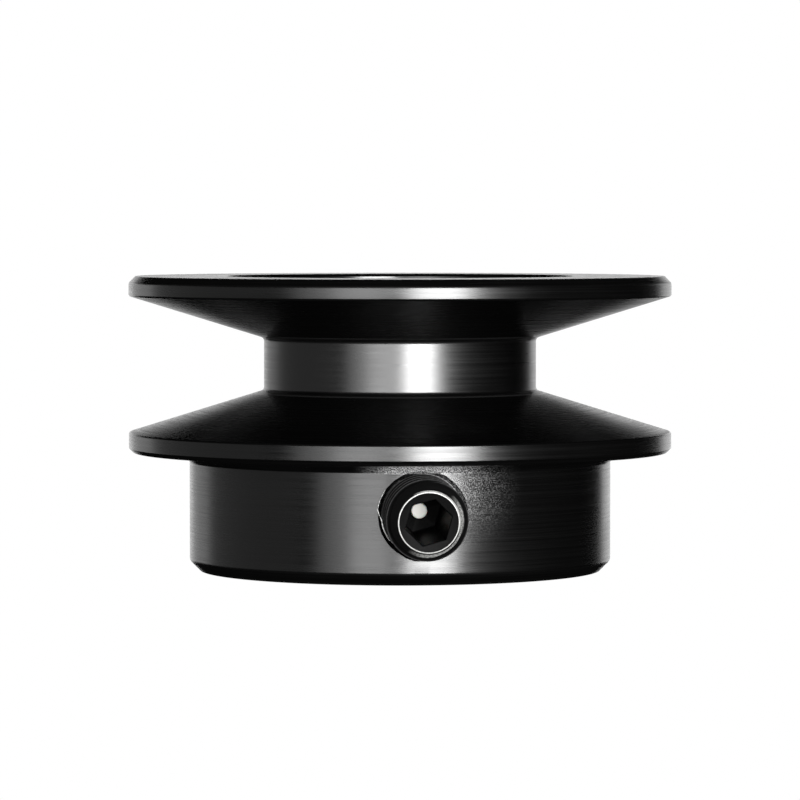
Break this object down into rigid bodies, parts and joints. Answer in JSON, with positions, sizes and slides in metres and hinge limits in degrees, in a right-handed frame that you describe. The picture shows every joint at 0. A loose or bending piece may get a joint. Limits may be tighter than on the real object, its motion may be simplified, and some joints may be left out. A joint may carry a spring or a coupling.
{
  "type": "grooved winch drum with set screw",
  "caption": "Turned metal line drum with a V groove between two flanges and a hub that one socket set screw clamps to its shaft.",
  "frame": {"origin": "on the drum's axis, in the plane of the hub's flat end face", "axes": "+Z along the drum's axis from the hub's end face towards the grooved end; -Y towards the set screw; +X to the right when looking at the screw"},
  "size_m": [0.055, 0.055, 0.0298],
  "materials": {
    "black_steel": "black oxide on turned steel, satin gloss, with fine turning marks",
    "screw_steel": "black oxide alloy steel, with bright worn edges",
    "nylon": "natural white nylon, matt"
  },
  "bodies": {
    "drum_body": {"drum": "black_steel"},
    "plug_body": {"screw_plug": "nylon"},
    "screw_body": {"set_screw": "screw_steel"}
  },
  "joints": [
    {"name": "screw_advance", "type": "slide", "parent": "drum_body", "child": "plug_body", "axis": [0, -0.9976, -0.0698], "range_m": [-0.00146, 0.00875]},
    {"name": "screw_turn", "type": "hinge", "parent": "plug_body", "child": "screw_body", "pos_m": [0, -0.02135, 0.00685], "axis": [0, -0.9976, -0.0698], "range_deg": [-420.5, 2521]}
  ],
  "couplings": [
    {"joint": "screw_turn", "follows": "screw_advance", "rad_per_m": 5026.5}
  ]
}
